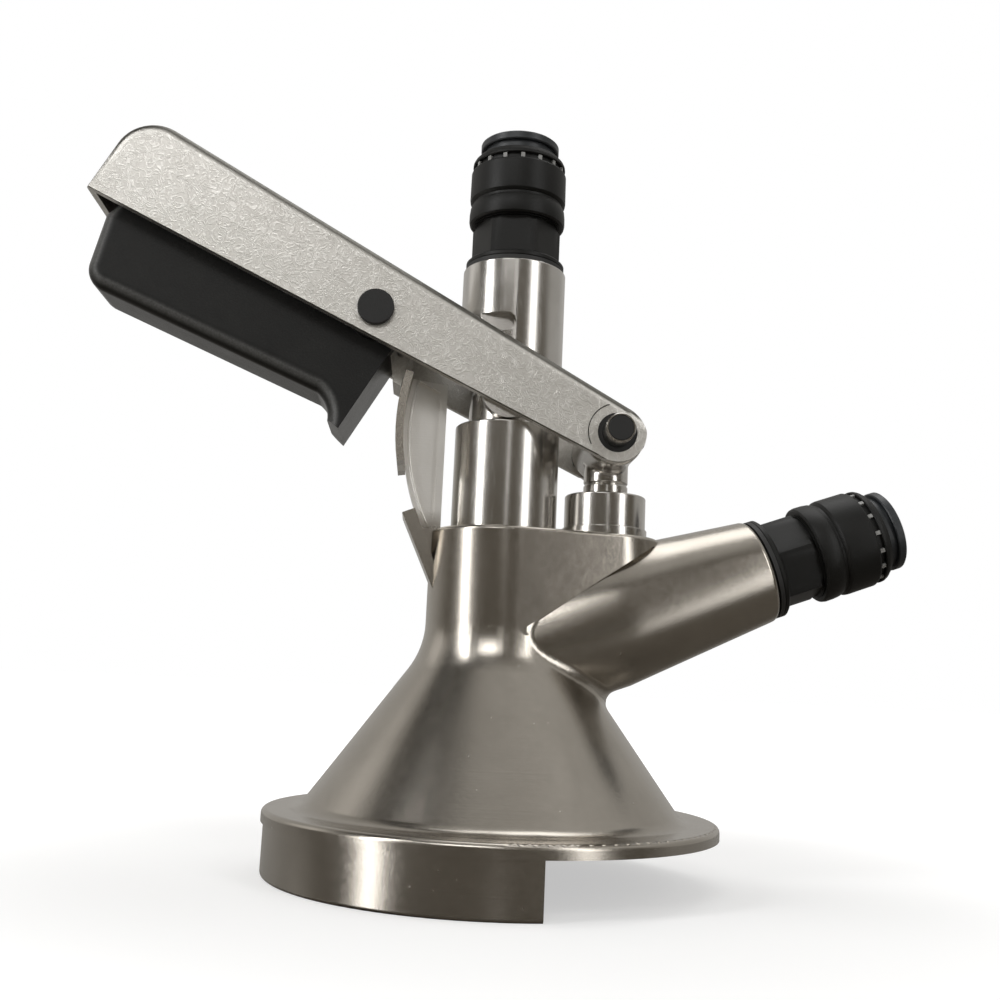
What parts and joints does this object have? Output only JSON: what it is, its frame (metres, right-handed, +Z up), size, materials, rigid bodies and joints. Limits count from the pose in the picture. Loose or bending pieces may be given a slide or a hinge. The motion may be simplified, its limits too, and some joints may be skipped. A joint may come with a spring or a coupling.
{
  "type": "keg coupler",
  "caption": "Slider keg coupler: bell-shaped casting with half skirt foot, angled gas arm, lever with squeeze grip and latch, sliding spindle and push-fit tube connectors.",
  "frame": {"origin": "on the spindle axis, level with the underside of the half skirt foot", "axes": "+Z up along the spindle towards the beer connector; +X towards the gas arm, which is also the open side of the foot; +Y completes a right-handed frame, and the X-Z plane is the plane of the lever"},
  "size_m": [0.1943, 0.1012, 0.1734],
  "materials": {
    "cast_steel": "tumbled investment-cast stainless steel, dark satin",
    "turned_steel": "turned and polished stainless steel",
    "lever_steel": "bead-blasted stainless sheet, light satin",
    "spring_steel": "spring wire",
    "black_plug": "black moulded plug",
    "grip_moulding": "black grained moulding",
    "connector_plastic": "black satin moulding",
    "collet_plastic": "dark blue-grey moulding",
    "white_plastic": "white food-safe moulding",
    "seal_rubber": "black food-safe rubber"
  },
  "bodies": {
    "coupler": {"coupler_body": "cast_steel", "keg_face_seal": "seal_rubber", "lower_spindle_seal": "seal_rubber", "upper_spindle_seal": "seal_rubber", "fulcrum_post": "turned_steel", "post_base_ring": "turned_steel", "fulcrum_pin": "turned_steel", "fulcrum_pin_caps": "black_plug", "gas_connector_body": "connector_plastic", "gas_connector_cap": "connector_plastic", "gas_port_gasket": "seal_rubber", "gas_tube_seal": "seal_rubber", "gas_tube_seal_spacer": "connector_plastic", "gas_duckbill_valve": "seal_rubber", "gas_valve_ring": "connector_plastic"},
    "lever": {"lever_channel": "lever_steel", "lever_bushes": "black_plug", "cam_discs": "turned_steel", "grip_pin": "turned_steel", "grip_pin_buttons": "black_plug", "latch_spring": "spring_steel"},
    "grip": {"lever_grip": "grip_moulding", "latch_hook": "lever_steel"},
    "spindle": {"spindle": "turned_steel", "probe_seal": "seal_rubber", "ball_cage": "white_plastic", "beer_connector_body": "connector_plastic", "beer_connector_cap": "connector_plastic", "beer_port_gasket": "seal_rubber", "beer_tube_seal": "seal_rubber", "beer_tube_seal_spacer": "connector_plastic"},
    "check_ball": {"check_ball": "white_plastic"},
    "beer_collet": {"beer_collet": "collet_plastic"},
    "gas_collet": {"gas_collet": "collet_plastic"}
  },
  "joints": [
    {"name": "lever_swing", "type": "hinge", "parent": "coupler", "child": "lever", "pos_m": [0.0238, 0, 0.0996], "axis": [0, -1, 0], "range_deg": [0, 30]},
    {"name": "spindle_slide", "type": "slide", "parent": "coupler", "child": "spindle", "axis": [0, 0, -1], "range_m": [0, 0.0136]},
    {"name": "grip_squeeze", "type": "hinge", "parent": "lever", "child": "grip", "pos_m": [-0.03204, 0, 0.12502], "axis": [0, 1, 0], "range_deg": [0, 8], "stiffness_Nm_per_rad": 0.6, "springref_deg": -11.46, "deforming": ["latch_spring"]},
    {"name": "ball_lift", "type": "slide", "parent": "spindle", "child": "check_ball", "axis": [0, 0, 1], "range_m": [0, 0.0024]},
    {"name": "beer_collet_push", "type": "slide", "parent": "spindle", "child": "beer_collet", "axis": [0, 0, -1], "range_m": [0, 0.0018]},
    {"name": "gas_collet_push", "type": "slide", "parent": "coupler", "child": "gas_collet", "axis": [-0.9379, 0, -0.3469], "range_m": [0, 0.0018]}
  ],
  "couplings": [
    {"joint": "spindle_slide", "follows": "lever_swing", "m_per_rad": 0.02582}
  ]
}
